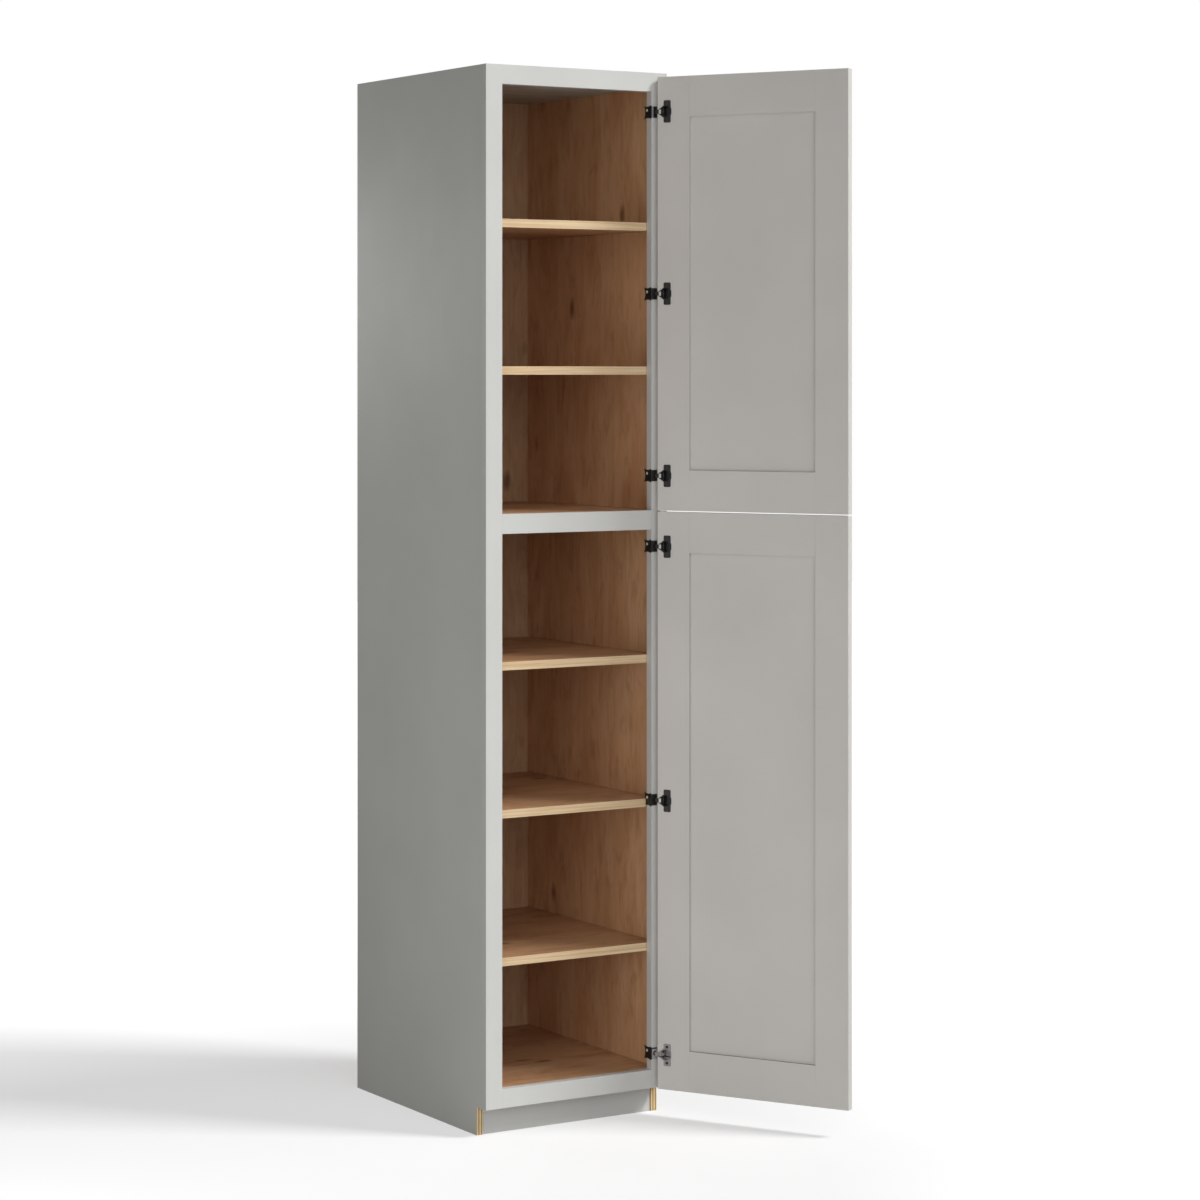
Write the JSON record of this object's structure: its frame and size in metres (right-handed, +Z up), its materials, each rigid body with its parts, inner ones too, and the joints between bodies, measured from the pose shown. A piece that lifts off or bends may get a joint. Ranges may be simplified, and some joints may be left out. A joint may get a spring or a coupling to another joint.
{
  "type": "tall pantry cabinet",
  "caption": "Tall narrow framed pantry cabinet with fixed shelves, a toe kick and an upper and a lower framed door on concealed hinges.",
  "frame": {"origin": "on the floor, at the middle of the back panel's lower edge, half way through its thickness", "axes": "+X to the right as seen from the front, +Y to the wall behind (the front faces -Y), +Z up"},
  "size_m": [0.6702, 0.9971, 2.286],
  "materials": {
    "paint": "satin light grey paint on hardwood",
    "side_ply": "light grey paint outside, clear-coated birch veneer inside",
    "natural_ply": "clear-coated warm birch plywood",
    "dowel": "plain beech",
    "black_steel": "satin black coated steel",
    "nickel": "nickel plated steel",
    "zinc_steel": "zinc plated steel"
  },
  "bodies": {
    "carcass": {"left_side_panel": "side_ply", "right_side_panel": "side_ply", "bottom_panel": "natural_ply", "middle_deck": "natural_ply", "top_panel": "natural_ply", "back_panel": "natural_ply", "lower_shelf_low": "natural_ply", "lower_shelf_middle": "natural_ply", "lower_shelf_high": "natural_ply", "upper_shelf_low": "natural_ply", "upper_shelf_high": "natural_ply", "toe_kick_board": "paint", "left_stile": "paint", "right_stile": "paint", "frame_top_rail": "paint", "frame_middle_rail": "paint", "frame_bottom_rail": "paint", "face_frame_dowels": "dowel", "hinge_bracket_1": "black_steel", "hinge_bracket_2": "black_steel", "hinge_bracket_3": "black_steel", "hinge_bracket_4": "black_steel", "hinge_bracket_5": "black_steel", "hinge_bracket_6": "black_steel", "bracket_screws": "zinc_steel", "hinge_arm_pins": "zinc_steel"},
    "lower_links": {"hinge_link_1": "nickel", "hinge_link_2": "black_steel", "hinge_link_3": "black_steel"},
    "lower_door": {"lower_door_hinge_stile": "paint", "lower_door_free_stile": "paint", "lower_door_bottom_rail": "paint", "lower_door_top_rail": "paint", "lower_door_panel": "paint", "hinge_cup_1": "nickel", "hinge_cup_2": "black_steel", "hinge_cup_3": "black_steel", "lower_door_cup_screws": "black_steel", "lower_door_cup_pins": "zinc_steel"},
    "upper_links": {"hinge_link_4": "black_steel", "hinge_link_5": "black_steel", "hinge_link_6": "black_steel"},
    "upper_door": {"upper_door_hinge_stile": "paint", "upper_door_free_stile": "paint", "upper_door_bottom_rail": "paint", "upper_door_top_rail": "paint", "upper_door_panel": "paint", "hinge_cup_4": "black_steel", "hinge_cup_5": "black_steel", "hinge_cup_6": "black_steel", "upper_door_cup_screws": "black_steel", "upper_door_cup_pins": "zinc_steel"}
  },
  "joints": [
    {"name": "lower_links_swing", "type": "hinge", "parent": "carcass", "child": "lower_links", "pos_m": [0.1995, -0.58785, 0.6925], "axis": [0, 0, 1], "range_deg": [0, 58.81]},
    {"name": "lower_door_swing", "type": "hinge", "parent": "lower_links", "child": "lower_door", "pos_m": [0.20672, -0.60265, 0.6925], "axis": [0, 0, 1], "range_deg": [-178.8, 0]},
    {"name": "upper_links_swing", "type": "hinge", "parent": "carcass", "child": "upper_links", "pos_m": [0.1995, -0.58785, 1.8015], "axis": [0, 0, 1], "range_deg": [0, 58.81]},
    {"name": "upper_door_swing", "type": "hinge", "parent": "upper_links", "child": "upper_door", "pos_m": [0.20672, -0.60265, 1.8015], "axis": [0, 0, 1], "range_deg": [-178.8, 0]}
  ],
  "couplings": [
    {"joint": "lower_links_swing", "follows": "lower_door_swing", "ratio": -0.32886},
    {"joint": "upper_links_swing", "follows": "upper_door_swing", "ratio": -0.32886}
  ]
}
